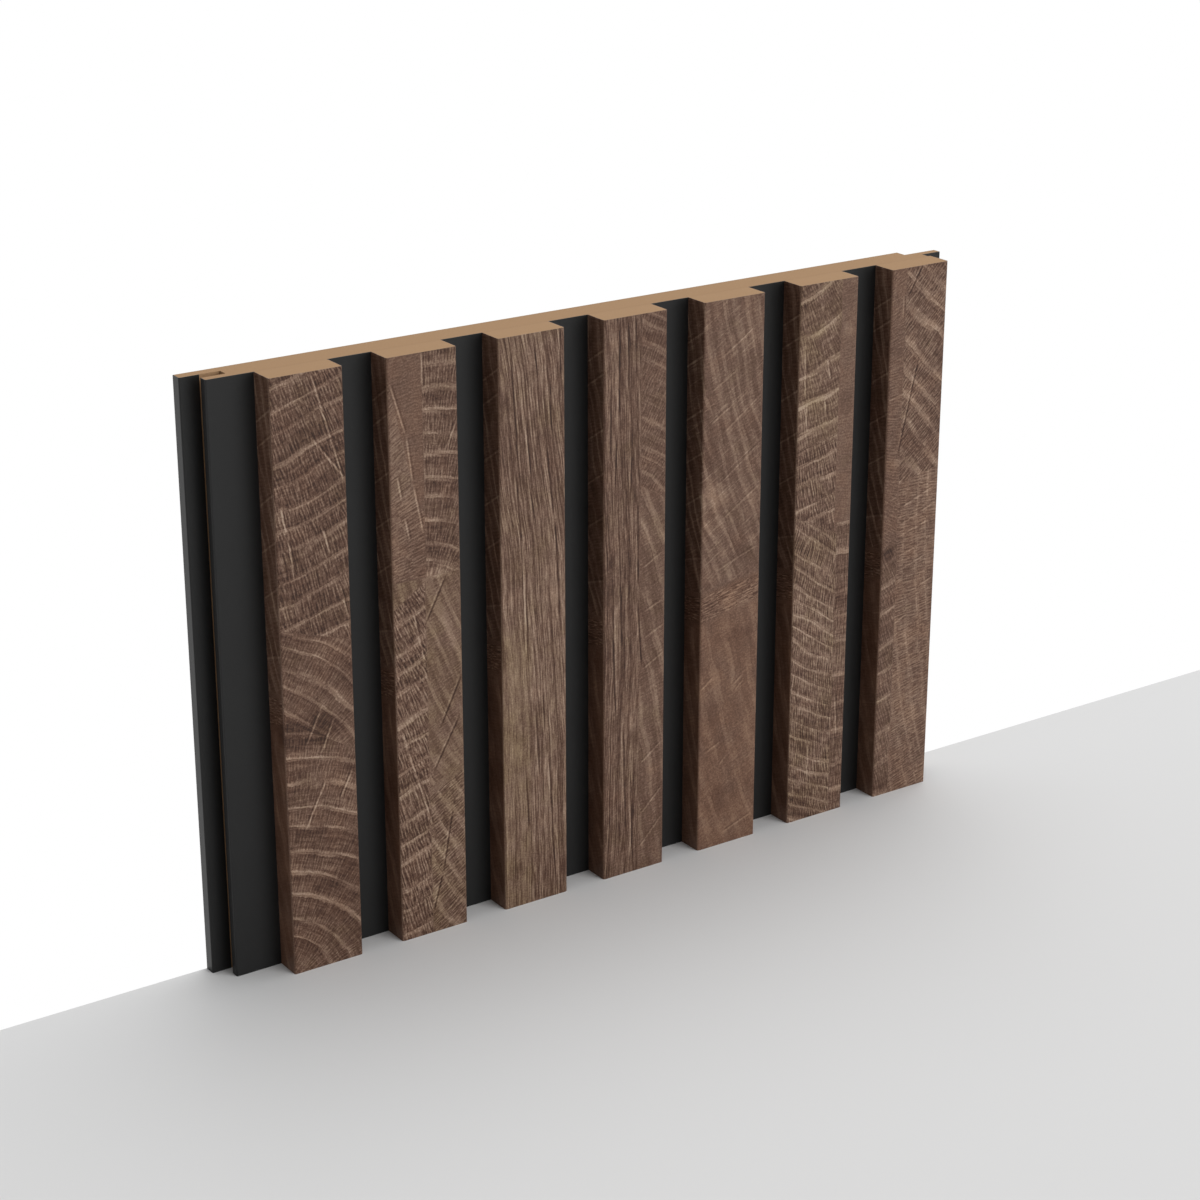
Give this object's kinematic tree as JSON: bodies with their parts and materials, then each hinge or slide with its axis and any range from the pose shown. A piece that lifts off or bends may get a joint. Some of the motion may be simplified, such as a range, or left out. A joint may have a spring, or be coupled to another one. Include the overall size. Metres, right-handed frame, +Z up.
{
  "type": "slat wall panel",
  "caption": "Wall panel of oak-decor slats on a black-filmed MDF board, with a groove down one side and a tongue down the other, so that panels join into an even run of slats.",
  "frame": {"origin": "middle of the foot, at the centre of the lower cut end's box", "axes": "+X to the right seen from the front, from groove to tongue; +Y towards the wall, with the slats facing -Y; +Z up along the slats"},
  "size_m": [0.2934, 0.0198, 0.198],
  "materials": {
    "mdf": "bare, cut",
    "oak_foil": "matt, dark oak decor",
    "black_film": "matt black"
  },
  "bodies": {
    "root": {"base_board": "mdf", "rear_lip_film": "black_film", "front_lip_film": "black_film", "board_edge_film": "black_film", "tongue_film": "black_film", "gap_film_1": "black_film", "gap_film_2": "black_film", "gap_film_3": "black_film", "gap_film_4": "black_film", "gap_film_5": "black_film", "gap_film_6": "black_film", "slat_core_1": "mdf", "slat_core_2": "mdf", "slat_core_3": "mdf", "slat_core_4": "mdf", "slat_core_5": "mdf", "slat_core_6": "mdf", "slat_core_7": "mdf", "slat_foil_1": "oak_foil", "slat_foil_2": "oak_foil", "slat_foil_3": "oak_foil", "slat_foil_4": "oak_foil", "slat_foil_5": "oak_foil", "slat_foil_6": "oak_foil", "slat_foil_7": "oak_foil"}
  },
  "joints": []
}
